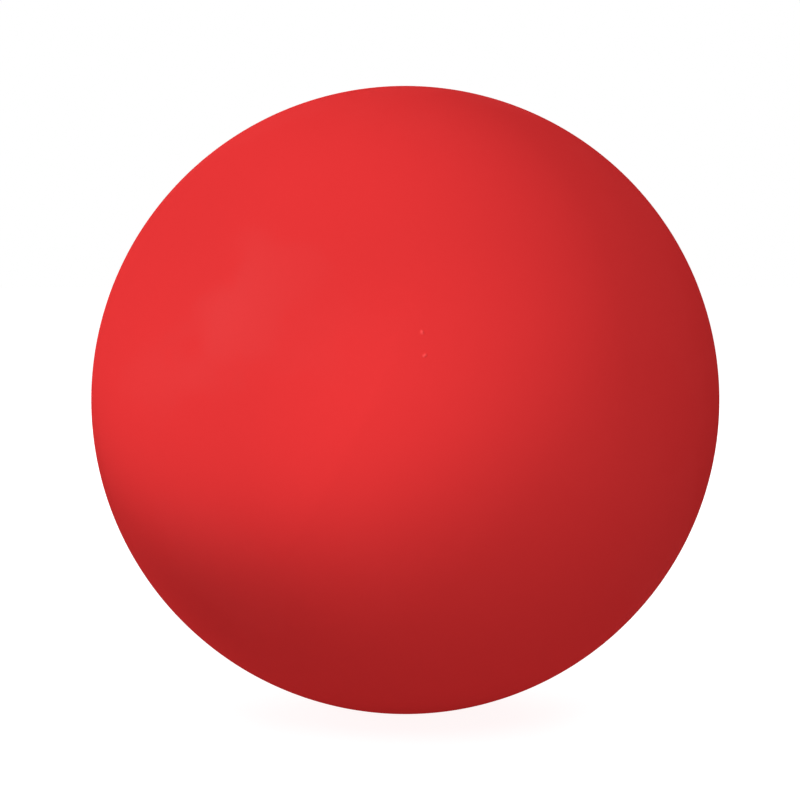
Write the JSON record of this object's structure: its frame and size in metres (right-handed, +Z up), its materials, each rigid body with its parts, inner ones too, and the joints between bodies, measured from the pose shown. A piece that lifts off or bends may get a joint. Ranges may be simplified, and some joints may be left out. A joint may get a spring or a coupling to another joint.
{
  "type": "dog ball",
  "caption": "Plain red rubber ball for a dog to fetch and chew: two cemented half shells around an air chamber, with a reed squeaker pressed into the wall on the far side.",
  "frame": {"origin": "centre of the ball", "axes": "+Y along the moulding axis from the plain pole that is pictured to the squeaker's vent, +Z up, +X to the right as seen by a viewer who looks along +Y; the seam lies in the XZ plane"},
  "size_m": [0.0634, 0.0633, 0.0634],
  "materials": {
    "red_rubber": "satin moulded rubber",
    "rubber_cement": "cured rubber cement",
    "natural_plastic": "natural moulded polyethylene",
    "reed_brass": "rolled brass strip"
  },
  "bodies": {
    "ball": {"front_half_shell": "red_rubber", "rear_half_shell": "red_rubber", "seam_cement": "rubber_cement", "squeaker_barrel": "natural_plastic", "tone_board": "natural_plastic", "reed_wedge": "natural_plastic"},
    "reed": {"reed": "reed_brass"}
  },
  "joints": [
    {"name": "reed_flex", "type": "hinge", "parent": "ball", "child": "reed", "pos_m": [0, 0.0252, 0], "axis": [1, 0, 0], "range_deg": [-3, 4.5], "stiffness_Nm_per_rad": 0.04}
  ]
}
